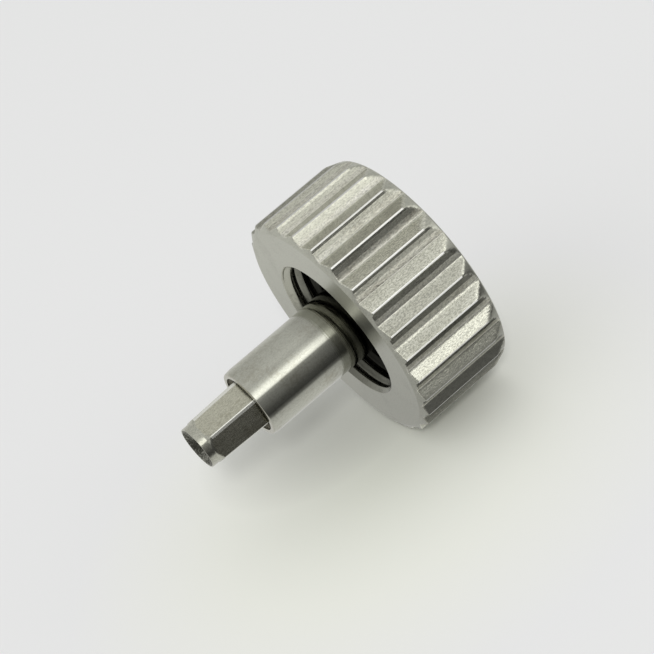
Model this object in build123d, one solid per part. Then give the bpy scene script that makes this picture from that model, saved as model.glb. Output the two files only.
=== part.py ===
from build123d import *
import math
import os

# Screw-down watch crown. Lengths in millimetres, angles in degrees.
# The crown's axis is X: x = 0 is the front rim of the head, where the case tube enters, and +X
# points out of the watch, to the head's outer face. +Z is the dial side.

# Head
HEAD_RADIUS = 3.35              # over the high edges of the flutes
HEAD_LENGTH = 2.90              # front rim to outer face
FLUTES = 28
FLUTE_DEPTH = 0.30              # high edge down to the valley of a groove
WALL_DEPTH_SHARE = 0.50         # shares of that depth: foot of the steep wall,
BEND_DEPTH_SHARE = 0.85         # and bend in the slope below it
WALL_SHARE = 0.09               # shares of the pitch from a high edge: foot of the wall,
BEND_SHARE = 0.28               # bend,
VALLEY_SHARE = 0.50             # and valley, where the crest's flat rise begins
FIRST_EDGE_ANGLE = 12.8         # of one high edge, about X, from +Y towards +Z
OUTER_CHAMFER = 0.40            # at 45 degrees
FRONT_CHAMFER_RISE = 0.32       # radial
FRONT_CHAMFER_LENGTH = 0.10     # axial

# Recess for the case tube
THREAD_RADIUS = 1.92            # bare wall that carries the tube thread
THREAD_CHAMFER = 0.14
RECESS_DEPTH = 2.05
RELIEF_DEPTH = 0.20             # of the groove that ends the thread, below its wall
RELIEF_LENGTH = 0.62

# Sleeve
SLEEVE_RADIUS = 0.98
SLEEVE_BORE_RADIUS = 0.86
SLEEVE_REACH = 2.94             # beyond the front rim
SLEEVE_SEAT_DEPTH = 0.50        # pressed into the end wall of the head
LIP_RADIUS = 0.82               # hole left by the rolled lip
LIP_LENGTH = 0.06
LIP_ROUND = 0.05
PRESS_GAP = 0.004               # between pieces that are pressed together

# Guide bush
BUSH_LENGTH = 0.45
BUSH_SETBACK = 0.14             # behind the lip

# Stem driver
HEX_FLATS = 1.33                # across the flats
HEX_RUNNING_GAP = 0.025         # all round, in the bush
DRIVER_REACH = 1.71             # beyond the sleeve, at rest
NOSE_RADIUS = 0.60
NOSE_LENGTH = 0.32
NOSE_TAPER_LENGTH = 0.26        # cone from the nose up to the hexagon's corners
NOSE_EDGE_BREAK = 0.02
STEM_THREAD_RADIUS = 0.45       # wall of the tapped hole
STEM_THREAD_DEPTH = 2.10
STEM_MOUTH_RADIUS = 0.52        # countersunk mouth
DRILL_POINT_ANGLE = 118.0
FLANGE_RUNNING_GAP = 0.03       # flange to the sleeve's bore
FLANGE_LENGTH = 0.28
FLANGE_STOP_GAP = 0.01          # flange to the bush, at rest
PILOT_RADIUS = 0.56
PILOT_LENGTH = 0.70
DRIVER_TRAVEL = 1.30

# Spring
WIRE_DIAMETER = 0.16            # over the corners of the wire's section
WIRE_SIDES = 8
SPRING_TURNS = 7
SPRING_BORE_GAP = 0.06          # coil to the sleeve's bore
SPRING_SEAT_GAP = 0.01          # wire to what it bears on

# Spring seat, gasket and its washer
SEAT_LENGTH = 0.12
SEAT_HOLE_RADIUS = 0.35
GASKET_LENGTH = 0.42
GASKET_BORE_GAP = 0.05          # gasket to sleeve
GASKET_BEVEL = 0.08
WASHER_LENGTH = 0.14
WASHER_BORE_SHARE = 0.63        # bore that the tube's neck enters, share of the thread's radius
FACE_GAP = 0.005                # between stacked flat faces

CUT_OVERRUN = 0.50              # how far a cutter passes a face
ARCS_PER_TURN = 4

# Places along X
SLEEVE_FRONT_X = -SLEEVE_REACH
SLEEVE_BACK_X = RECESS_DEPTH + SLEEVE_SEAT_DEPTH
BUSH_FRONT_X = SLEEVE_FRONT_X + BUSH_SETBACK
BUSH_BACK_X = BUSH_FRONT_X + BUSH_LENGTH
TIP_X = SLEEVE_FRONT_X - DRIVER_REACH
FLANGE_FRONT_X = BUSH_BACK_X + FLANGE_STOP_GAP
FLANGE_BACK_X = FLANGE_FRONT_X + FLANGE_LENGTH
PILOT_BACK_X = FLANGE_BACK_X + PILOT_LENGTH
SEAT_BACK_X = SLEEVE_BACK_X - PRESS_GAP
SEAT_FRONT_X = SEAT_BACK_X - SEAT_LENGTH
GASKET_BACK_X = RECESS_DEPTH - FACE_GAP
GASKET_FRONT_X = GASKET_BACK_X - GASKET_LENGTH
WASHER_BACK_X = GASKET_FRONT_X - FACE_GAP
WASHER_FRONT_X = WASHER_BACK_X - WASHER_LENGTH
RELIEF_RADIUS = THREAD_RADIUS + RELIEF_DEPTH
BUSH_RADIUS = SLEEVE_BORE_RADIUS - PRESS_GAP
FLANGE_RADIUS = SLEEVE_BORE_RADIUS - FLANGE_RUNNING_GAP
SPRING_RADIUS = SLEEVE_BORE_RADIUS - SPRING_BORE_GAP - WIRE_DIAMETER / 2

PITCH_ANGLE = 360 / FLUTES
ACROSS = Plane.YZ               # sections across the crown; its normal is +X


def turned(points):
    """Solid turned about X from an outline of (x, radius) points."""
    return revolve(make_face(Polyline(*points, close=True)), Axis.X)


def ring(front, back, inner, outer):
    """Plain ring about X."""
    return turned([(front, inner), (back, inner), (back, outer), (front, outer)])


def across(x):
    """Section plane at x, with its own x axis on +Y and its own y axis on +Z."""
    return ACROSS.offset(x)


def polar(radius, angle):
    turn = math.radians(angle)
    return (radius * math.cos(turn), radius * math.sin(turn))


def fluted_outline():
    """Outline across the head, like a ratchet: each tooth falls steeply from its high edge,
    slopes down to the valley, and rises as one flat crest to the next high edge."""
    points = []
    for tooth in range(FLUTES):
        high = FIRST_EDGE_ANGLE + tooth * PITCH_ANGLE
        foot = high + WALL_SHARE * PITCH_ANGLE
        bend = high + BEND_SHARE * PITCH_ANGLE
        valley = high + VALLEY_SHARE * PITCH_ANGLE
        points.append(polar(HEAD_RADIUS, high))
        points.append(polar(HEAD_RADIUS - WALL_DEPTH_SHARE * FLUTE_DEPTH, foot))
        points.append(polar(HEAD_RADIUS - BEND_DEPTH_SHARE * FLUTE_DEPTH, bend))
        points.append(polar(HEAD_RADIUS - FLUTE_DEPTH, valley))
    return make_face(Polyline(*points, close=True))


def head_envelope():
    """Turned blank of the head, with its front and outer chamfers."""
    return turned([
        (0, 0),
        (0, HEAD_RADIUS - FRONT_CHAMFER_RISE),
        (FRONT_CHAMFER_LENGTH, HEAD_RADIUS),
        (HEAD_LENGTH - OUTER_CHAMFER, HEAD_RADIUS),
        (HEAD_LENGTH, HEAD_RADIUS - OUTER_CHAMFER),
        (HEAD_LENGTH, 0),
    ])


def head_recess():
    """Space turned out of the head: chamfered thread wall, relief groove, and sleeve seat."""
    relief_x = RECESS_DEPTH - RELIEF_LENGTH
    return turned([
        (-CUT_OVERRUN, 0),
        (-CUT_OVERRUN, THREAD_RADIUS + THREAD_CHAMFER + CUT_OVERRUN),
        (THREAD_CHAMFER, THREAD_RADIUS),
        (relief_x, THREAD_RADIUS),
        (relief_x + RELIEF_DEPTH, RELIEF_RADIUS),
        (RECESS_DEPTH, RELIEF_RADIUS),
        (RECESS_DEPTH, SLEEVE_RADIUS + PRESS_GAP),
        (SLEEVE_BACK_X, SLEEVE_RADIUS + PRESS_GAP),
        (SLEEVE_BACK_X, 0),
    ])


def crown_head():
    flutes = extrude(across(0) * fluted_outline(), HEAD_LENGTH)
    return (head_envelope() & flutes) - head_recess()


def stem_sleeve():
    """Tube whose free end is rolled in to a lip with a rounded shoulder."""
    front = SLEEVE_FRONT_X
    back = SLEEVE_BACK_X - PRESS_GAP
    body = Polyline(
        (front, SLEEVE_RADIUS - LIP_ROUND),
        (front, LIP_RADIUS),
        (front + LIP_LENGTH, LIP_RADIUS),
        (front + LIP_LENGTH, SLEEVE_BORE_RADIUS),
        (back, SLEEVE_BORE_RADIUS),
        (back, SLEEVE_RADIUS),
        (front + LIP_ROUND, SLEEVE_RADIUS),
    )
    shoulder = RadiusArc(body @ 1, body @ 0, LIP_ROUND)
    return revolve(make_face(body + shoulder), Axis.X)


def hexagon(flats):
    """Hexagonal face with a corner towards the dial side."""
    return RegularPolygon(flats / 2, 6, major_radius=False, rotation=90)


def guide_bush():
    blank = ring(BUSH_FRONT_X, BUSH_BACK_X, 0, BUSH_RADIUS)
    opening = across(BUSH_FRONT_X) * hexagon(HEX_FLATS + 2 * HEX_RUNNING_GAP)
    return blank - extrude(opening, BUSH_LENGTH)


def driver_bar():
    """Hexagonal bar with its corners turned down to a short round nose."""
    corner_radius = HEX_FLATS / math.sqrt(3)
    bar = extrude(across(TIP_X) * hexagon(HEX_FLATS), FLANGE_FRONT_X - TIP_X)
    nose_x = TIP_X + NOSE_LENGTH
    envelope = turned([
        (TIP_X, 0),
        (TIP_X, NOSE_RADIUS - NOSE_EDGE_BREAK),
        (TIP_X + NOSE_EDGE_BREAK, NOSE_RADIUS),
        (nose_x, NOSE_RADIUS),
        (nose_x + NOSE_TAPER_LENGTH, corner_radius),
        (FLANGE_FRONT_X, corner_radius),
        (FLANGE_FRONT_X, 0),
    ])
    return bar & envelope


def stem_hole():
    """Tapped hole, as its plain wall, with a countersunk mouth and a drill point."""
    sink = STEM_MOUTH_RADIUS - STEM_THREAD_RADIUS
    point = STEM_THREAD_RADIUS / math.tan(math.radians(DRILL_POINT_ANGLE / 2))
    end_x = TIP_X + STEM_THREAD_DEPTH
    return turned([
        (TIP_X - CUT_OVERRUN, 0),
        (TIP_X - CUT_OVERRUN, STEM_MOUTH_RADIUS + CUT_OVERRUN),
        (TIP_X + sink, STEM_THREAD_RADIUS),
        (end_x, STEM_THREAD_RADIUS),
        (end_x + point, 0),
    ])


def stem_driver():
    flange = ring(FLANGE_FRONT_X, FLANGE_BACK_X, 0, FLANGE_RADIUS)
    pilot = ring(FLANGE_BACK_X, PILOT_BACK_X, 0, PILOT_RADIUS)
    return driver_bar() + flange + pilot - stem_hole()


def helix_point(turn, start_x, advance):
    across_y, across_z = polar(SPRING_RADIUS, 360 * turn)
    return Vector(start_x + advance * turn, across_y, across_z)


def helix_tangent(turn, advance):
    around = 2 * math.pi * SPRING_RADIUS
    side_y, side_z = polar(around, 360 * turn + 90)
    return Vector(advance, side_y, side_z).normalized()


def biarc(start, start_tangent, end, end_tangent):
    """Two tangent arcs from start to end with the given directions."""
    chord = end - start
    both = start_tangent + end_tangent
    spread = 2 * (1 - start_tangent.dot(end_tangent))
    along = chord.dot(both)
    reach = (math.sqrt(along * along + spread * chord.dot(chord)) - along) / spread
    join_from = start + start_tangent * reach
    join_to = end - end_tangent * reach
    middle = (join_from + join_to) / 2
    first = TangentArc(start, middle, tangent=start_tangent)
    second = TangentArc(middle, end, tangent=(join_to - join_from))
    return [first, second]


def least_coil_gap(advance):
    """Least space between one turn of the coil and the next, measured on points."""
    steps = 360
    least = math.inf
    here = helix_point(0, 0, advance)
    for step in range(steps // 2, steps * 2):
        there = helix_point(step / steps, 0, advance)
        least = min(least, (there - here).length)
    return least - WIRE_DIAMETER


def driver_spring():
    wire_radius = WIRE_DIAMETER / 2
    start_x = FLANGE_BACK_X + SPRING_SEAT_GAP + wire_radius
    end_x = SEAT_FRONT_X - SPRING_SEAT_GAP - wire_radius
    advance = (end_x - start_x) / SPRING_TURNS
    edges = []
    for step in range(SPRING_TURNS * ARCS_PER_TURN):
        turn = step / ARCS_PER_TURN
        turn_after = (step + 1) / ARCS_PER_TURN
        edges += biarc(
            helix_point(turn, start_x, advance),
            helix_tangent(turn, advance),
            helix_point(turn_after, start_x, advance),
            helix_tangent(turn_after, advance),
        )
    path = Wire([edge.edge() for edge in edges])
    section = Plane(helix_point(0, start_x, advance), z_dir=helix_tangent(0, advance))
    print("spring least gap to itself, mm:", round(least_coil_gap(advance), 3))
    return sweep(section * RegularPolygon(wire_radius, WIRE_SIDES), path)


def spring_seat():
    return ring(SEAT_FRONT_X, SEAT_BACK_X, SEAT_HOLE_RADIUS, SLEEVE_BORE_RADIUS - PRESS_GAP)


def tube_gasket():
    inner = SLEEVE_RADIUS + GASKET_BORE_GAP
    body = ring(GASKET_FRONT_X, GASKET_BACK_X, inner, RELIEF_RADIUS - FACE_GAP)
    rims = body.edges().filter_by(GeomType.CIRCLE)
    return chamfer(rims, GASKET_BEVEL)


def gasket_washer():
    bore = THREAD_RADIUS * WASHER_BORE_SHARE
    return ring(WASHER_FRONT_X, WASHER_BACK_X, bore, THREAD_RADIUS - PRESS_GAP)


NODES = {
    "crown_head": crown_head,
    "stem_sleeve": stem_sleeve,
    "guide_bush": guide_bush,
    "stem_driver": stem_driver,
    "driver_spring": driver_spring,
    "spring_seat": spring_seat,
    "tube_gasket": tube_gasket,
    "gasket_washer": gasket_washer,
}

os.makedirs("parts", exist_ok=True)
for name, make in NODES.items():
    export_step(make(), "parts/" + name + ".step")
print("tip to outer face, mm:", round(HEAD_LENGTH - TIP_X, 3), "driver travel, mm:", DRIVER_TRAVEL)
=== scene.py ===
import math

import bmesh
import bpy
from mathutils import Matrix, Vector

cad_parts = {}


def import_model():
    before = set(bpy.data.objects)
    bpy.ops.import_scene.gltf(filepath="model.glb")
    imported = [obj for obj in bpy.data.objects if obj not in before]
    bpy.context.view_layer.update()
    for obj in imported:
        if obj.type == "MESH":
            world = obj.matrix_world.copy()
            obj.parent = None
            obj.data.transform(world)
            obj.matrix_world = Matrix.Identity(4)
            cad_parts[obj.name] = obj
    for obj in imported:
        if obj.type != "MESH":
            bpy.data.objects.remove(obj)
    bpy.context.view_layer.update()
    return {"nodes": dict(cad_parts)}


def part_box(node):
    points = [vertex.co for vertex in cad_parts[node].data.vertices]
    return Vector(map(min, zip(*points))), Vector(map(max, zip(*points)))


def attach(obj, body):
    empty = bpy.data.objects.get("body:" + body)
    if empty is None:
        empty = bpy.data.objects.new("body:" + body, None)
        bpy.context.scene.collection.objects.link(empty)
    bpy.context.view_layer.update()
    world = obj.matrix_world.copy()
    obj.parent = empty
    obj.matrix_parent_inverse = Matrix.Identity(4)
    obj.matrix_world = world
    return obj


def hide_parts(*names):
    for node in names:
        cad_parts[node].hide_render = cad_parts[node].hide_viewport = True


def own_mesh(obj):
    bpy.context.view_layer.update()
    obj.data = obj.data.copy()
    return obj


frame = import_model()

# Looks of a screw-down watch crown. Shapes are worked out in millimetres and stored in metres, in
# the frame of the CAD part: X along the crown's axis, out of the watch, and +Z to the dial side.
MM = 0.001
CLEARANCE = 0.004               # keeps surfaces that touch from lying in one another

# Head. The shares place the corners of a flute between one sharp edge (0) and the next (1).
HEAD_RADIUS = 3.34
HEAD_LENGTH = 2.90
RIM_RADIUS = 3.09
OUTER_RIM = 2.97
RIM_MARGIN = 0.2                # width of the flat faces that the fluted skin takes in
SHOULDER = (2.85, 3.20)
BLANK_ROUNDS = (0, 0.04, 0.09, 0.50, 0.10, 0.04, 0)
BLANK_BLEND = 0.03              # rounding where a flute runs out on the turned blank
BLANK_MARGIN = 0.004            # within which a face counts as part of the blank
FLUTES = 28
PITCH = 360 / FLUTES
FIRST_EDGE = 13.15
FLUTE_CORNERS = ((HEAD_RADIUS, 0), (3.26, 0.09), (3.225, 0.26), (3.19, 0.47))
FLUTE_ROUNDS = (0.04, 0.04, 0.30, 0.022)
CREST_SHARES = (0.50, 0.975)
SLOPE_SHARES = (0.10, 0.45)
CREST_LEAN = -23                # degrees by which the polish of a crest and of a slope leans over
SLOPE_LEAN = 17
LEAN_LIMIT = 0.4                # normals that point this far along X aren't leant
CREST_TURN = {10: 26}           # flutes whose polish leans another way than the rest
SLOPE_TURN = {10: -24}

# Recess
MOUTH_RADIUS = 2.06
MOUTH_CHAMFER = 0.14
THREAD_RADIUS = 1.92
THREAD_DEPTH = 0.11
THREAD_PITCH = 0.35
THREAD_LAND = 0.12              # share of half a pitch that a flat takes, at the top and the bottom
THREAD_SOFTNESS = 0.35
THREAD_RINGS = 20               # rings of the mesh in one pitch
RELIEF_START = 1.43
RELIEF_RADIUS = 2.12
RECESS_DEPTH = 2.05
SEAT_END = 2.55

# Post
SLEEVE_RADIUS = 0.98
SLEEVE_FRONT = -2.94
SLEEVE_BORE = 0.86
ROLL_LENGTH = 0.19
ROLL_DEPTH = 0.026
LIP_RADIUS = 0.82
LIP_THICKNESS = 0.06

# Driver
TIP = -4.65
TIP_WIDTH = 0.93                # share of the bar's full width at its tip
HEX_CORNER = 1.33 / math.sqrt(3)
HEX_ROUND = 0.045
HEX_EDGE = 0.028                # depth of the painted highlight strip on each corner of the hexagon
NOSE_BLEND = 0.015
NOSE_MARGIN = 0.003             # within which a face counts as part of the turned nose
FLANGE_START = SLEEVE_FRONT + 0.60
FLANGE_END = FLANGE_START + 0.28
FLANGE_RADIUS = 0.83
PILOT_END = FLANGE_START + 0.98
PILOT_RADIUS = 0.56
STEM_RADIUS = 0.45
STEM_PITCH = 0.20
STEM_DEPTH = 0.055
STEM_LAND = 0.10
STEM_RINGS = 12
STEM_START = TIP + 0.12
STEM_END = TIP + 2.10
DRILL_ANGLE = 59

# Spring
WIRE_RADIUS = 0.076
COIL_RADIUS = 0.72
COIL_TURNS = 7
CLOSED_TURNS = 0.75             # turns at each end that lie on their neighbour
CLOSED_PITCH = 0.19
COIL_STEPS = 48
WIRE_SIDES = 14

# Material slots of the head and of the driver
ON_CREST, ON_EDGE, ON_GROOVE, ON_WALL, ON_FACE, ON_LOW, ON_RECESS = range(7)
ON_FLAT, ON_NOSE, ON_HOLE, ON_CORNER = range(4)


def lerp(a, b, t):
    return a + (b - a) * t


def limited(value):
    return min(max(value, 0.0), 1.0)


def smooth_step(t):
    return t * t * (3 - 2 * t)


def smooth_min(a, b, k):
    h = max(k - abs(a - b), 0.0) / k
    return min(a, b) - h * h * k / 4


def polar(x, radius, angle):
    turn = math.radians(angle)
    return (x, radius * math.cos(turn), radius * math.sin(turn))


# Outlines

def round_corners(points, radii, segments=4, closed=True):
    """2-D outline with its corners rounded: radii holds one radius for each corner."""
    out = []
    count = len(points)
    for i, (p, radius) in enumerate(zip(points, radii)):
        p = Vector(p)
        if not radius or (not closed and i in (0, count - 1)):
            out.append(tuple(p))
            continue
        before = Vector(points[i - 1]) - p
        after = Vector(points[(i + 1) % count]) - p
        length_before, length_after = before.length, after.length
        before.normalize()
        after.normalize()
        half = before.angle(after) / 2
        reach = min(radius / math.tan(half), 0.49 * length_before, 0.49 * length_after)
        fitted = reach * math.tan(half)
        middle = p + (before + after).normalized() * (fitted / math.sin(half))
        start, end = p + before * reach - middle, p + after * reach - middle
        turn = start.angle_signed(end)
        for s in range(segments + 1):
            a = -turn * s / segments
            out.append((
                middle.x + start.x * math.cos(a) - start.y * math.sin(a),
                middle.y + start.x * math.sin(a) + start.y * math.cos(a),
            ))
    return out


def run(a, b, steps):
    """Points from a to just before b."""
    return [(lerp(a[0], b[0], s / steps), lerp(a[1], b[1], s / steps)) for s in range(steps)]


def length_of(a, b):
    return math.hypot(b[0] - a[0], b[1] - a[1])


def columns_of(section, spacing, slots=(0,)):
    """Columns round a closed (y, z) section: (angle, radius, material after it)."""
    columns = []
    for i, point in enumerate(section):
        after = section[(i + 1) % len(section)]
        for y, z in run(point, after, int(length_of(point, after) / spacing) + 1):
            columns.append((math.degrees(math.atan2(z, y)), math.hypot(y, z), slots[i % len(slots)]))
    return columns


def stations_of(outline, spacing):
    """Points along an open (x, radius) outline, without its last. spacing(a, b) is that of a run."""
    stations = []
    for a, b in zip(outline, outline[1:]):
        stations += run(a, b, max(1, round(length_of(a, b) / spacing(a, b))))
    return stations


# Meshes

def add_grid(bm, rings, closed_loft=False, slots=None):
    """Skin over closed rings of points. slots(ring, column) gives a face's material."""
    rows = [[bm.verts.new(p) for p in ring] for ring in rings]
    count = len(rings[0])
    for i in range(len(rows) if closed_loft else len(rows) - 1):
        lower, upper = rows[i], rows[(i + 1) % len(rows)]
        for j in range(count):
            k = (j + 1) % count
            face = bm.faces.new((lower[j], lower[k], upper[k], upper[j]))
            if slots:
                face.material_index = slots(i, j)
    return rows


def add_ring(bm, last, points, slot):
    """Skin from the last ring of vertices to a new one."""
    ring = [bm.verts.new(p) for p in points]
    for j in range(len(ring)):
        k = (j + 1) % len(ring)
        bm.faces.new((last[j], last[k], ring[k], ring[j])).material_index = slot
    return ring


def add_round_rings(bm, last, profile, angles, slot):
    for x, radius in profile:
        last = add_ring(bm, last, [polar(x, radius, a) for a in angles], slot)
    return last


def close_ring(bm, ring, x, slot):
    """Close a ring with a fan of faces to a point on the axis."""
    tip = bm.verts.new((x, 0, 0))
    for j in range(len(ring)):
        bm.faces.new((ring[j], ring[(j + 1) % len(ring)], tip)).material_index = slot


def turned(bm, outline, steps):
    """Skin turned about X from a closed outline of (x, radius) points."""
    rings = [[polar(x, r, 360 * s / steps) for x, r in outline] for s in range(steps)]
    add_grid(bm, rings, closed_loft=True)


def thread_wave(x, angle, pitch, land):
    """How far the groove of a helical thread is cut in at a place, from 0 to 1."""
    phase = (x / pitch - (angle % 360) / 360) % 1.0
    return limited((abs(phase - 0.5) * 2 - land) / (1 - 2 * land))


def vertex_normals(bm):
    """Normals weighted by face area and corner angle, so that flats stay flat beside small rounds."""
    bm.normal_update()
    normals = []
    for vert in bm.verts:
        total = Vector((0, 0, 0))
        for loop in vert.link_loops:
            total += loop.face.normal * (loop.face.calc_area() * loop.calc_angle())
        normals.append(total.normalized() if total.length > 0 else vert.normal.copy())
    return normals


def mesh_object(name, bm, materials, body, replaced=(), lean=None):
    """Piece made from a mesh in millimetres. lean(place, normal) may turn its shading normals."""
    bmesh.ops.remove_doubles(bm, verts=bm.verts, dist=1e-5)
    bmesh.ops.dissolve_degenerate(bm, edges=bm.edges, dist=1e-6)
    bmesh.ops.recalc_face_normals(bm, faces=bm.faces)
    weighted = vertex_normals(bm)
    if lean:
        weighted = [lean(vert.co, normal) for vert, normal in zip(bm.verts, weighted)]
    bmesh.ops.scale(bm, vec=(MM, MM, MM), verts=bm.verts)
    mesh = bpy.data.meshes.new(name)
    bm.to_mesh(mesh)
    bm.free()
    for poly in mesh.polygons:
        poly.use_smooth = True
    mesh.normals_split_custom_set_from_vertices(weighted)
    obj = bpy.data.objects.new(name, mesh)
    bpy.context.scene.collection.objects.link(obj)
    for material in materials:
        mesh.materials.append(material)
    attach(obj, body)
    if replaced:
        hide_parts(*replaced)
    return obj


# Nodes

def put(tree, value, socket):
    """Link a socket to another, or set it to a plain value."""
    if isinstance(value, bpy.types.NodeSocket):
        tree.links.new(value, socket)
    else:
        socket.default_value = value


def node(tree, kind, **values):
    made = tree.nodes.new(kind)
    for key, value in values.items():
        setattr(made, key, value)
    return made


def math_node(tree, operation, *values, clamp=False):
    made = node(tree, "ShaderNodeMath", operation=operation, use_clamp=clamp)
    for socket, value in zip(made.inputs, values):
        put(tree, value, socket)
    return made.outputs[0]


def mix_colours(tree, factor, a, b, blend="MIX"):
    mix = node(tree, "ShaderNodeMix", data_type="RGBA", blend_type=blend)
    put(tree, factor, mix.inputs[0])
    put(tree, a, mix.inputs[6])
    put(tree, b, mix.inputs[7])
    return mix.outputs[2]


def multiplied(tree, a, b):
    return mix_colours(tree, 1.0, a, b, "MULTIPLY")


def ramp(tree, factor, stops):
    """Colour ramp with stops of a place and a colour, or a place and a grey."""
    made = node(tree, "ShaderNodeValToRGB")
    elements = made.color_ramp.elements
    while len(elements) < len(stops):
        elements.new(0.5)
    for element, (position, colour) in zip(elements, stops):
        element.position = position
        element.color = (*colour, 1) if isinstance(colour, tuple) else (colour, colour, colour, 1)
    put(tree, factor, made.inputs[0])
    return made.outputs[0]


def coordinates(tree, stretch=(1, 1, 1)):
    """Object coordinates in millimetres, times stretch."""
    place = node(tree, "ShaderNodeTexCoord")
    mapping = node(tree, "ShaderNodeMapping")
    mapping.inputs["Scale"].default_value = [s / MM for s in stretch]
    put(tree, place.outputs["Object"], mapping.inputs["Vector"])
    return mapping.outputs["Vector"]


def split(tree, vector):
    parts = node(tree, "ShaderNodeSeparateXYZ")
    put(tree, vector, parts.inputs[0])
    return parts.outputs


def noise(tree, per_mm, detail=2.0, roughness=0.5, stretch=(1, 1, 1)):
    made = node(tree, "ShaderNodeTexNoise")
    made.inputs["Scale"].default_value = per_mm
    made.inputs["Detail"].default_value = detail
    made.inputs["Roughness"].default_value = roughness
    put(tree, coordinates(tree, stretch), made.inputs["Vector"])
    return made.outputs[0]


def ring_noise(tree, per_mm, detail=3.0):
    """Marks of a lathe: noise that changes only along the axis and along the radius."""
    x, y, z = split(tree, coordinates(tree))
    squares = [math_node(tree, "MULTIPLY", part, part) for part in (y, z)]
    radius = math_node(tree, "SQRT", math_node(tree, "ADD", *squares))
    made = node(tree, "ShaderNodeTexNoise", noise_dimensions="1D")
    made.inputs["Scale"].default_value = per_mm
    made.inputs["Detail"].default_value = detail
    put(tree, math_node(tree, "ADD", x, radius), made.inputs["W"])
    return made.outputs[0]


def add_relief(tree, shader, height):
    """Bump of a height in millimetres."""
    relief = node(tree, "ShaderNodeBump")
    relief.inputs["Strength"].default_value = 1.0
    relief.inputs["Distance"].default_value = MM
    put(tree, height, relief.inputs["Height"])
    put(tree, relief.outputs[0], shader.inputs["Normal"])


def depth_shade(tree, depth):
    """Ramp of greys over the place along the axis: depth is (start, end, stops) in millimetres."""
    start, end, stops = depth
    x = split(tree, coordinates(tree))[0]
    share = math_node(tree, "MULTIPLY_ADD", x, 1 / (end - start), -start / (end - start), clamp=True)
    return ramp(tree, share, stops)


def side_shade(tree, side, reach):
    """Ramp of greys over how far a place lies towards a bearing: side is (bearing, stops). With a
    reach in millimetres it runs evenly across the axis, else only the bearing of a place counts."""
    bearing, stops = side
    flat = node(tree, "ShaderNodeVectorMath", operation="MULTIPLY")
    put(tree, coordinates(tree), flat.inputs[0])
    flat.inputs[1].default_value = (0, 1, 1)
    unit = node(tree, "ShaderNodeVectorMath", operation="SCALE" if reach else "NORMALIZE")
    put(tree, flat.outputs["Vector"], unit.inputs[0])
    if reach:
        unit.inputs["Scale"].default_value = 1 / reach
    towards = node(tree, "ShaderNodeVectorMath", operation="DOT_PRODUCT")
    put(tree, unit.outputs["Vector"], towards.inputs[0])
    towards.inputs[1].default_value = polar(0, 1, bearing)
    return ramp(tree, math_node(tree, "MULTIPLY_ADD", towards.outputs["Value"], 0.5, 0.5), stops)


def speckle_shade(tree, strength):
    """Fine speckle of greys."""
    fine = noise(tree, 30, 1.0, 0.5, (0.6, 1, 1))
    return ramp(tree, fine, [(0.34, 1 - strength), (0.52, 1 - strength * 0.35), (0.70, 1.0)])


# Materials

def metal(name, colour, dark, roughness, spread, grain, bump, drawn=1.0, rings=0.0, ring_scale=12.0,
          tint=None, metallic=1.0, depth=None, side=None, reach=None, speckle=0.0):
    """Steel with a mottled colour, a roughness that varies by spread, fine grain, and turning marks
    where rings is set. A drawn share below 1 draws the grain out along the axis."""
    material = bpy.data.materials.new(name)
    material.use_nodes = True
    tree = material.node_tree
    shader = tree.nodes["Principled BSDF"]
    shader.inputs["Metallic"].default_value = metallic
    stretch = (drawn, 1, 1)
    fine = noise(tree, grain, 3.0, 0.6, stretch)
    broad = noise(tree, 1.6, 3.0, 0.55, stretch)
    mixed = math_node(tree, "MULTIPLY_ADD", fine, 0.45, math_node(tree, "MULTIPLY", broad, 0.55))
    base = ramp(tree, mixed, [(0.30, dark), (0.50, colour), (0.72, tint or colour)])
    # depth and side multiply the colour by ramps of painted shade and painted light
    if depth:
        base = multiplied(tree, base, depth_shade(tree, depth))
    if side:
        base = multiplied(tree, base, side_shade(tree, side, reach))
    if speckle:
        base = multiplied(tree, base, speckle_shade(tree, speckle))
    put(tree, base, shader.inputs["Base Color"])
    level = math_node(tree, "MULTIPLY_ADD", mixed, spread, roughness - spread / 2)
    put(tree, level, shader.inputs["Roughness"])
    height = math_node(tree, "MULTIPLY", fine, bump)
    if rings:
        height = math_node(tree, "MULTIPLY_ADD", ring_noise(tree, ring_scale), rings, height)
    add_relief(tree, shader, height)
    return material


# The side ramp darkens the crests that lie about 115° round from bearing 100, such as the lowest ones in
# view: painted shade.
CREST = metal(
    "crest_steel", (0.82, 0.82, 0.71), (0.60, 0.60, 0.50), tint=(0.92, 0.92, 0.82),
    roughness=0.24, spread=0.16, grain=24, bump=0.0065, drawn=0.35, metallic=0.82, speckle=0.36,
    side=(100, [(0.10, 1.0), (0.24, 0.38), (0.31, 0.38), (0.39, 0.78), (0.46, 1.0)]),
)
# Near-white, half-diffuse steel on the sharp flute edges stands in for their glints: a painted highlight.
# The side ramp dims it to half away from bearing 152: painted shade.
EDGE = metal(
    "edge_steel", (0.95, 0.95, 0.91), (0.90, 0.90, 0.85),
    roughness=0.30, spread=0.06, grain=20, bump=0.0004, drawn=0.3, metallic=0.35,
    side=(152, [(0.55, 0.50), (0.85, 0.55), (0.93, 1.0)]),
)
LOW = metal(
    "low_edge_steel", (0.80, 0.80, 0.71), (0.62, 0.62, 0.54),
    roughness=0.30, spread=0.06, grain=20, bump=0.0010, drawn=0.3, metallic=0.7,
)
# The side ramp keeps the slopes at three quarters and lifts them to full only within a few degrees of
# bearing 105: a painted highlight there.
GROOVE = metal(
    "groove_steel", (0.92, 0.91, 0.79), (0.48, 0.45, 0.36), tint=(1.0, 0.99, 0.92),
    roughness=0.30, spread=0.16, grain=26, bump=0.0085, drawn=0.35, metallic=0.80, speckle=0.38,
    side=(105, [(0.93, 0.74), (0.985, 0.80), (0.996, 1.0)]),
)
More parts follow.
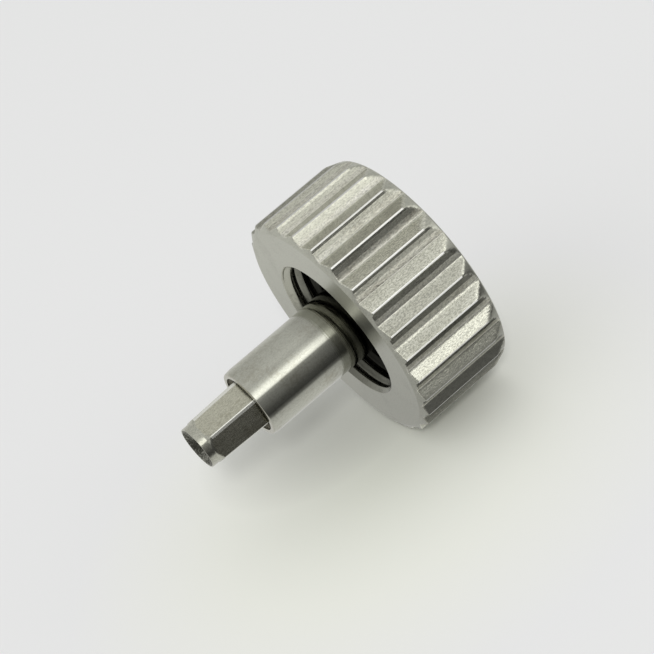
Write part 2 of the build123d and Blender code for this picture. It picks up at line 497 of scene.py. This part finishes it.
# The side ramp darkens the steep walls to a fifth, as dark lines behind the edges: painted shade. Near
# bearing 95 it lifts them to full: painted light.
WALL = metal(
    "wall_steel", (0.95, 0.95, 0.82), (0.72, 0.71, 0.60),
    roughness=0.28, spread=0.10, grain=22, bump=0.0040, drawn=0.3, metallic=0.90, speckle=0.3,
    side=(95, [(0.55, 0.20), (0.72, 0.30), (0.83, 0.44), (0.93, 0.48), (0.967, 0.62), (0.993, 1.0)]),
)
# The side ramp with its reach darkens the face evenly towards the side away from bearing 75: a painted
# gradient of shade and reflection.
FACE = metal(
    "face_steel", (0.66, 0.665, 0.585), (0.53, 0.53, 0.46),
    roughness=0.32, spread=0.12, grain=14, bump=0.0010, rings=0.0040, ring_scale=9, speckle=0.16,
    side=(75, [(0.05, 0.66), (0.50, 0.82), (0.95, 1.0)]), reach=2.6,
)
# The depth ramp darkens the recess towards its bottom, and the side ramp darkens it away from bearing 75:
# painted shade.
RECESS = metal(
    "recess_steel", (0.56, 0.56, 0.48), (0.36, 0.36, 0.30),
    roughness=0.24, spread=0.12, grain=12, bump=0.0008, rings=0.0010,
    depth=(0.0, 2.0, [(0.06, 1.0), (0.20, 0.62), (0.32, 0.16), (0.46, 0.03)]),
    side=(75, [(0.02, 0.50), (0.25, 0.26), (0.70, 1.0)]),
)
# The depth ramp darkens the post towards the head and inside the recess: painted shade, in place of the
# dark recess that it mirrors.
SLEEVE = metal(
    "sleeve_steel", (0.66, 0.665, 0.59), (0.53, 0.52, 0.44),
    roughness=0.080, spread=0.06, grain=11, bump=0.0003, rings=0.0009, ring_scale=16, speckle=0.10,
    depth=(-1.2, 0.6, [(0.0, 1.0), (0.40, 0.74), (0.70, 0.34), (0.86, 0.10), (1.0, 0.06)]),
)
LIP = metal(
    "lip_steel", (0.62, 0.61, 0.54), (0.44, 0.42, 0.36),
    roughness=0.20, spread=0.08, grain=12, bump=0.0004, rings=0.0008,
)
FLAT = metal(
    "flat_steel", (0.72, 0.71, 0.59), (0.44, 0.42, 0.32),
    roughness=0.27, spread=0.14, grain=20, bump=0.0036, drawn=0.35, speckle=0.24,
)
# Lighter, partly diffuse steel on the rounded corners of the hexagon and on the rim of the tip: a painted
# highlight.
CORNER = metal(
    "corner_steel", (0.86, 0.86, 0.80), (0.74, 0.74, 0.68),
    roughness=0.22, spread=0.06, grain=14, bump=0.0004, metallic=0.80,
)
NOSE = metal(
    "nose_steel", (0.70, 0.70, 0.61), (0.50, 0.49, 0.42),
    roughness=0.16, spread=0.08, grain=16, bump=0.0022, rings=0.0016, speckle=0.2,
)
# Near-black steel in the tapped hole and its countersink: painted shade, with lighter specks from the
# tint.
HOLE = metal(
    "hole_steel", (0.09, 0.09, 0.075), (0.02, 0.02, 0.015), tint=(0.80, 0.80, 0.72),
    roughness=0.36, spread=0.14, grain=22, bump=0.0080,
)
BUSH = metal(
    "bush_steel", (0.34, 0.33, 0.30), (0.22, 0.21, 0.19),
    roughness=0.34, spread=0.12, grain=12, bump=0.0010, rings=0.0010,
)
WIRE = metal(
    "wire_steel", (0.56, 0.56, 0.54), (0.42, 0.42, 0.40),
    roughness=0.24, spread=0.10, grain=12, bump=0.0006,
)
PLATE = metal(
    "plate_steel", (0.52, 0.51, 0.48), (0.38, 0.37, 0.35),
    roughness=0.30, spread=0.12, grain=12, bump=0.0010, rings=0.0010,
)


def rubber():
    material = bpy.data.materials.new("gasket_rubber")
    material.use_nodes = True
    tree = material.node_tree
    shader = tree.nodes["Principled BSDF"]
    mottle = noise(tree, 9, 3.0)
    stops = [(0.3, (0.022, 0.022, 0.022)), (0.7, (0.045, 0.044, 0.042))]
    put(tree, ramp(tree, mottle, stops), shader.inputs["Base Color"])
    put(tree, math_node(tree, "MULTIPLY_ADD", mottle, 0.2, 0.5), shader.inputs["Roughness"])
    add_relief(tree, shader, math_node(tree, "MULTIPLY", noise(tree, 30), 0.004))
    return material


RUBBER = rubber()


# Head

def tooth_columns():
    """Columns of the fluted wall."""
    section = []
    for tooth in range(FLUTES):
        for radius, share in FLUTE_CORNERS:
            section.append(polar(0, radius, FIRST_EDGE + (tooth + share) * PITCH)[1:])
    rounded = round_corners(section, FLUTE_ROUNDS * FLUTES)
    slots = [ON_EDGE] * 4 + [ON_WALL] * 6 + [ON_GROOVE] * 5 + [ON_LOW] * 4 + [ON_CREST]
    return columns_of(rounded, 0.08, slots)


def blank_spacing(a, b):
    """Long steps where the blank is a cylinder, and fine ones where it slopes or curves."""
    return 0.35 if abs(b[1] - a[1]) < 1e-6 else 0.03


def blank_stations():
    """Points along the turned blank that the flutes are cut in, from the front to the outer face."""
    beyond = HEAD_RADIUS + 0.01
    outline = [
        (0.0, RIM_RADIUS - RIM_MARGIN), (0.0, RIM_RADIUS), (0.12, beyond), (2.42, beyond), SHOULDER,
        (HEAD_LENGTH, OUTER_RIM), (HEAD_LENGTH, OUTER_RIM - RIM_MARGIN),
    ]
    rounded = round_corners(outline, BLANK_ROUNDS, segments=8, closed=False)
    return stations_of(rounded, blank_spacing) + [rounded[-1]]


def flute_lean(place, normal):
    """Normal of the fluted wall, leant over where the crests and slopes are polished."""
    if math.hypot(place.y, place.z) < RIM_RADIUS:
        return normal
    turns = (math.degrees(math.atan2(place.z, place.y)) - FIRST_EDGE) / PITCH % FLUTES
    tooth = int(turns)
    share = turns - tooth
    if CREST_SHARES[0] < share < CREST_SHARES[1]:
        angle = CREST_LEAN + CREST_TURN.get(tooth, 0)
    elif SLOPE_SHARES[0] < share < SLOPE_SHARES[1]:
        angle = SLOPE_LEAN + SLOPE_TURN.get(tooth, 0)
    else:
        return normal
    weight = max(0.0, 1 - abs(normal.x) / LEAN_LIMIT)
    leant = normal.copy()
    leant.rotate(Matrix.Rotation(math.radians(angle * weight), 3, "X"))
    return leant


def head():
    """Fluted wall, flat faces, and the recess with its thread, relief and seat for the post."""
    bm = bmesh.new()
    columns = tooth_columns()
    stations = blank_stations()
    rings = [
        [polar(x, smooth_min(radius, limit, BLANK_BLEND), angle) for angle, radius, _ in columns]
        for x, limit in stations
    ]

    def slots(i, j):
        _, radius, slot = columns[j]
        on_blank = max(stations[i][1], stations[i + 1][1]) <= radius + BLANK_MARGIN
        return ON_FACE if on_blank else slot

    rows = add_grid(bm, rings, slots=slots)
    angles = [angle for angle, _, _ in columns]

    outer_face = [(HEAD_LENGTH, r) for r in (2.4, 1.6, 0.8, 0.2)]
    close_ring(bm, add_round_rings(bm, rows[-1], outer_face, angles, ON_FACE), HEAD_LENGTH, ON_FACE)

    mouth = round_corners(
        [(0.0, RIM_RADIUS - RIM_MARGIN), (0.0, MOUTH_RADIUS), (MOUTH_CHAMFER, THREAD_RADIUS)],
        [0, 0.03, 0], closed=False,
    )[1:-1]
    last = add_round_rings(bm, rows[0], [(0.0, 2.6), (0.0, 2.35)] + mouth, angles, ON_FACE)

    start = mouth[-1][0]
    levels = int((RELIEF_START - start) / (THREAD_PITCH / THREAD_RINGS))
    for level in range(1, levels + 1):
        x = lerp(start, RELIEF_START, level / levels)
        points = []
        for angle in angles:
            wave = thread_wave(x, angle, THREAD_PITCH, THREAD_LAND)
            radius = THREAD_RADIUS + THREAD_DEPTH * lerp(wave, smooth_step(wave), THREAD_SOFTNESS)
            points.append(polar(x, max(radius, THREAD_RADIUS + MOUTH_CHAMFER - x), angle))
        last = add_ring(bm, last, points, ON_RECESS)

    seat_radius = SLEEVE_RADIUS + CLEARANCE
    deep = round_corners(
        [(RELIEF_START, THREAD_RADIUS), (RELIEF_START + 0.20, RELIEF_RADIUS),
         (RECESS_DEPTH, RELIEF_RADIUS), (RECESS_DEPTH, seat_radius), (SEAT_END, seat_radius),
         (SEAT_END, 0.0)],
        [0, 0.02, 0.03, 0, 0, 0], segments=3, closed=False,
    )
    close_ring(bm, add_round_rings(bm, last, deep[1:-1], angles, ON_RECESS), SEAT_END, ON_RECESS)
    materials = [CREST, EDGE, GROOVE, WALL, FACE, LOW, RECESS]
    return mesh_object("head_shell", bm, materials, "head", ["crown_head"], lean=flute_lean)


# Post

def sleeve():
    """Hollow post with its free end rolled in to a thin lip."""
    bm = bmesh.new()
    front, back = SLEEVE_FRONT, SEAT_END - CLEARANCE
    outline = round_corners(
        [(front + ROLL_LENGTH, SLEEVE_RADIUS), (front, SLEEVE_RADIUS - ROLL_DEPTH), (front, LIP_RADIUS),
         (front + LIP_THICKNESS, LIP_RADIUS), (front + LIP_THICKNESS, SLEEVE_BORE), (back, SLEEVE_BORE),
         (back, SLEEVE_RADIUS)],
        [0.05, 0.05, 0.012, 0.012, 0.01, 0.01, 0.02], segments=6,
    )
    turned(bm, outline, 192)
    outside, inside = 0, 1
    for face in bm.faces:
        middle = face.calc_center_median()
        radius = math.hypot(middle.y, middle.z)
        face.material_index = outside if radius > SLEEVE_RADIUS - ROLL_DEPTH - CLEARANCE else inside
    return mesh_object("post_sleeve", bm, [SLEEVE, LIP], "head", ["stem_sleeve"])


def bar_width(x):
    """Share of its full width that the hexagonal bar has at x. It narrows outside the post."""
    if x > SLEEVE_FRONT:
        return 1.0
    return lerp(TIP_WIDTH, 1.0, (x - TIP) / (SLEEVE_FRONT - TIP))


def bar_spacing(a, b):
    """Fine steps along the nose, and single ones behind it."""
    return 0.05 if a[0] < TIP + 0.7 else math.inf


def driver():
    """Hexagonal bar with a round nose and a tapped hole, a flange and a pilot for the spring."""
    bm = bmesh.new()
    hexagon = [polar(0, HEX_CORNER, 60 * i + 30)[1:] for i in range(6)]
    columns = columns_of(round_corners(hexagon, [HEX_ROUND] * 6, segments=6), 0.06)
    outline = round_corners(
        [(TIP, 0.58), (TIP, 0.60), (TIP + 0.20, 0.605), (TIP + 0.32, 0.72), (TIP + 0.40, 0.80),
         (FLANGE_START - 0.02, 0.80), (FLANGE_START, HEX_CORNER), (FLANGE_START, FLANGE_RADIUS),
         (FLANGE_END, FLANGE_RADIUS), (FLANGE_END, PILOT_RADIUS), (PILOT_END, PILOT_RADIUS),
         (PILOT_END, 0.0)],
        [0, 0.012, 0.05, 0.03, 0, 0, 0, 0.02, 0.02, 0.02, 0.04, 0], segments=5, closed=False,
    )
    stations = stations_of(outline, bar_spacing)
    turned_part = FLANGE_START - 0.001
    rings = []
    for x, limit in stations:
        ring = []
        for angle, radius, _ in columns:
            cut = smooth_min(radius * bar_width(x), limit, NOSE_BLEND)
            ring.append(polar(x, limit if x > turned_part else cut, angle))
        rings.append(ring)

    def slots(i, j):
        x, limit = stations[i]
        radius = columns[j][1]
        if x > turned_part or limit <= radius * bar_width(x) + NOSE_MARGIN:
            return ON_NOSE
        return ON_CORNER if radius > HEX_CORNER - HEX_EDGE else ON_FLAT

    rows = add_grid(bm, rings, slots=slots)
    close_ring(bm, rows[-1], PILOT_END, ON_NOSE)

    angles = [angle for angle, _, _ in columns]
    # the rim of the tip takes the corner's painted highlight
    last = add_round_rings(bm, rows[0], [(TIP + 0.004, 0.572)], angles, ON_CORNER)
    countersink = [(TIP + 0.02, 0.56), (TIP + 0.07, 0.51), (STEM_START, 0.455)]
    last = add_round_rings(bm, last, countersink, angles, ON_HOLE)
    levels = int((STEM_END - STEM_START) / (STEM_PITCH / STEM_RINGS))
    for level in range(1, levels + 1):
        x = lerp(STEM_START, STEM_END, level / levels)
        points = []
        for angle in angles:
            wave = thread_wave(x, angle, STEM_PITCH, STEM_LAND)
            radius = STEM_RADIUS - STEM_DEPTH + STEM_DEPTH * wave
            points.append(polar(x, max(radius, STEM_RADIUS + STEM_START - x), angle))
        last = add_ring(bm, last, points, ON_HOLE)
    close_ring(bm, last, STEM_END + STEM_RADIUS / math.tan(math.radians(DRILL_ANGLE)), ON_HOLE)
    materials = [FLAT, NOSE, HOLE, CORNER]
    return mesh_object("driver_bar", bm, materials, "driver", ["stem_driver"])


def spring():
    """Round-wire coil with its end turns closed up."""
    bm = bmesh.new()
    low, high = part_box("driver_spring")
    inset = WIRE_RADIUS + 0.002
    start, end = low.x / MM + inset, high.x / MM - inset
    pitch = (end - start - 2 * CLOSED_TURNS * CLOSED_PITCH) / (COIL_TURNS - 2 * CLOSED_TURNS)
    places, x = [], start
    for i in range(COIL_TURNS * COIL_STEPS + 1):
        turn = i / COIL_STEPS
        places.append((x, turn))
        near = min(turn, COIL_TURNS - turn)
        blend = limited((near - CLOSED_TURNS * 0.5) / CLOSED_TURNS)
        x += lerp(CLOSED_PITCH, pitch, smooth_step(blend)) / COIL_STEPS
    scale = (end - start) / (places[-1][0] - start)
    axis = Vector((1, 0, 0))
    rings = []
    for x, turn in places:
        outward = Vector(polar(0, 1, 360 * turn))
        middle = axis * (start + (x - start) * scale) + outward * COIL_RADIUS
        rings.append([
            tuple(middle + (outward * math.cos(t) + axis * math.sin(t)) * WIRE_RADIUS)
            for t in [math.tau * s / WIRE_SIDES for s in range(WIRE_SIDES)]
        ])
    rows = add_grid(bm, rings)
    for row in (rows[0], rows[-1]):
        bm.faces.new(row)
    piece = mesh_object("return_spring", bm, [WIRE], "head", ["driver_spring"])
    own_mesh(piece)
    return piece


def gasket():
    """Flat rubber ring with rounded edges."""
    bm = bmesh.new()
    low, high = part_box("tube_gasket")
    front, back = low.x / MM, high.x / MM
    inner, outer = SLEEVE_RADIUS + 0.052, high.y / MM - CLEARANCE
    corners = [(front, inner), (back, inner), (back, outer), (front, outer)]
    turned(bm, round_corners(corners, [0.14] * 4, segments=6), 128)
    return mesh_object("rubber_ring", bm, [RUBBER], "head", ["tube_gasket"])


head()
sleeve()
driver()
spring()
gasket()
for name, material in (("guide_bush", BUSH), ("spring_seat", PLATE), ("gasket_washer", PLATE)):
    for place in frame["nodes"][name].material_slots:
        place.link = "OBJECT"
        place.material = material


# Camera

LENS = 135.86
CAMERA_PLACE = Vector((-15.382, -52.165, 30.242))
FORWARD = Vector((0.2455, 0.8403, -0.4833)).normalized()
RIGHT = Vector((0.7382, -0.4852, -0.4687))
RIGHT = (RIGHT - FORWARD * RIGHT.dot(FORWARD)).normalized()
UP = RIGHT.cross(FORWARD)


def camera():
    data = bpy.data.cameras.new("camera")
    obj = bpy.data.objects.new("camera", data)
    bpy.context.scene.collection.objects.link(obj)
    pose = Matrix((RIGHT, UP, -FORWARD)).transposed().to_4x4()
    pose.translation = CAMERA_PLACE * MM
    obj.matrix_world = pose
    data.sensor_width = 36
    data.lens = LENS
    data.clip_start = 0.001
    data.clip_end = 10
    bpy.context.scene.camera = obj
    bpy.context.scene.view_settings.view_transform = "Standard"


camera()


# Floor, pale, with a painted lighter ring and a painted shadow near the crown

FLOOR_DEPTH = 3.5
FLOOR_SIZE = 3000


def spot(tree, centre, radius, stops):
    """Ramp over the distance from a place on the floor, in millimetres."""
    place = node(tree, "ShaderNodeTexCoord")
    spread = node(tree, "ShaderNodeMapping", vector_type="TEXTURE")
    spread.inputs["Location"].default_value = (centre[0] * MM, centre[1] * MM, 0)
    spread.inputs["Scale"].default_value = (radius * MM, radius * MM, 1)
    put(tree, place.outputs["Object"], spread.inputs["Vector"])
    distance = node(tree, "ShaderNodeVectorMath", operation="LENGTH")
    put(tree, spread.outputs["Vector"], distance.inputs[0])
    return ramp(tree, distance.outputs["Value"], stops)


def floor():
    bm = bmesh.new()
    bmesh.ops.create_grid(bm, x_segments=1, y_segments=1, size=FLOOR_SIZE * MM)
    mesh = bpy.data.meshes.new("floor")
    bm.to_mesh(mesh)
    bm.free()
    obj = bpy.data.objects.new("floor", mesh)
    bpy.context.scene.collection.objects.link(obj)
    obj.location = (0, 0, -FLOOR_DEPTH * MM)
    material = bpy.data.materials.new("floor_paper")
    material.use_nodes = True
    tree = material.node_tree
    shader = tree.nodes["Principled BSDF"]
    shader.inputs["Roughness"].default_value = 0.9
    shader.inputs["Specular IOR Level"].default_value = 0.0
    # Warmer tint near the crown, lifted in a ring round it to thin its shadow: a warm colour with painted
    # light.
    warm_and_lightened = [
        (0.0, (0.750, 0.765, 0.685)), (0.50, (0.775, 0.784, 0.728)), (1.0, (0.745, 0.748, 0.748)),
    ]
    tint = spot(tree, (-1.5, -1.0), 9, warm_and_lightened)
    # Darker spot beside the post: a painted shadow.
    shade = spot(tree, (-0.9, 3.2), 3.6, [(0.0, 0.62), (0.45, 0.75), (1.0, 1.0)])
    put(tree, multiplied(tree, tint, shade), shader.inputs["Base Color"])
    mesh.materials.append(material)
    obj.visible_glossy = False


floor()


# World. The steel mirrors bands of light and dark that lie along the crown's axis, like the strips
# of a light tent. Each is given by its bearing about the axis from the camera's side, and its level.
CAMERA_BEARING = 149.9
SURROUNDINGS = [
    (-180, 0.66), (-140, 0.62), (-118, 0.50), (-95, 0.52), (-72, 0.54), (-50, 0.60), (-34, 0.55),
    (-22, 0.78), (-14, 1.30), (-5, 1.58), (2, 1.36), (7, 0.34), (18, 0.21), (34, 0.15), (50, 0.08),
    (66, 0.05), (76, 0.15), (84, 0.46), (110, 0.60), (180, 0.64),
]
FADE_START, FADE_END = 0.78, 0.98


def world():
    made = bpy.data.worlds.new("world")
    bpy.context.scene.world = made
    made.use_nodes = True
    tree = made.node_tree
    direction = node(tree, "ShaderNodeTexCoord").outputs["Generated"]
    x, y, z = split(tree, direction)
    turn = math_node(tree, "MULTIPLY_ADD", math_node(tree, "ARCTAN2", z, y), 1 / math.tau,
                     (180 - CAMERA_BEARING) / 360)
    stops = [((angle + 180) / 360, (level, level, level * 0.97)) for angle, level in SURROUNDINGS]
    bands = ramp(tree, math_node(tree, "FRACT", turn), stops)
    # along the axis the bands would meet in a point, so they fade to a plain grey there
    width = FADE_END - FADE_START
    fade = math_node(tree, "MULTIPLY_ADD", math_node(tree, "ABSOLUTE", x), 1 / width, -FADE_START / width,
                     clamp=True)
    mirrored = mix_colours(tree, fade, bands, (0.5, 0.5, 0.49, 1))
    towards = node(tree, "ShaderNodeVectorMath", operation="DOT_PRODUCT")
    put(tree, direction, towards.inputs[0])
    towards.inputs[1].default_value = -FORWARD
    front = math_node(tree, "MULTIPLY_ADD", towards.outputs["Value"], 0.5, 0.5, clamp=True)
    plain = ramp(tree, front, [(0.2, (0.69, 0.69, 0.685)), (0.8, (0.99, 0.99, 0.985))])
    glossy = node(tree, "ShaderNodeLightPath").outputs["Is Glossy Ray"]
    background = tree.nodes["Background"]
    put(tree, mix_colours(tree, glossy, plain, mirrored), background.inputs["Color"])
    background.inputs["Strength"].default_value = 1.0


world()


KEY_DISTANCE = 700
KEY_SIZE = 90
KEY_POWER = 1.35


def key_lamp():
    """Small soft lamp beside the camera, which gives the floor its faint shadow."""
    data = bpy.data.lights.new("key", "AREA")
    data.shape = "DISK"
    data.size = KEY_SIZE * MM
    data.energy = KEY_POWER
    obj = bpy.data.objects.new("key", data)
    bpy.context.scene.collection.objects.link(obj)
    obj.location = (UP * 0.11 - RIGHT * 0.08 - FORWARD) * KEY_DISTANCE * MM
    obj.rotation_mode = "QUATERNION"
    obj.rotation_quaternion = (-obj.location).to_track_quat("-Z", "Y")
    obj.visible_camera = False
    obj.visible_glossy = False


key_lamp()
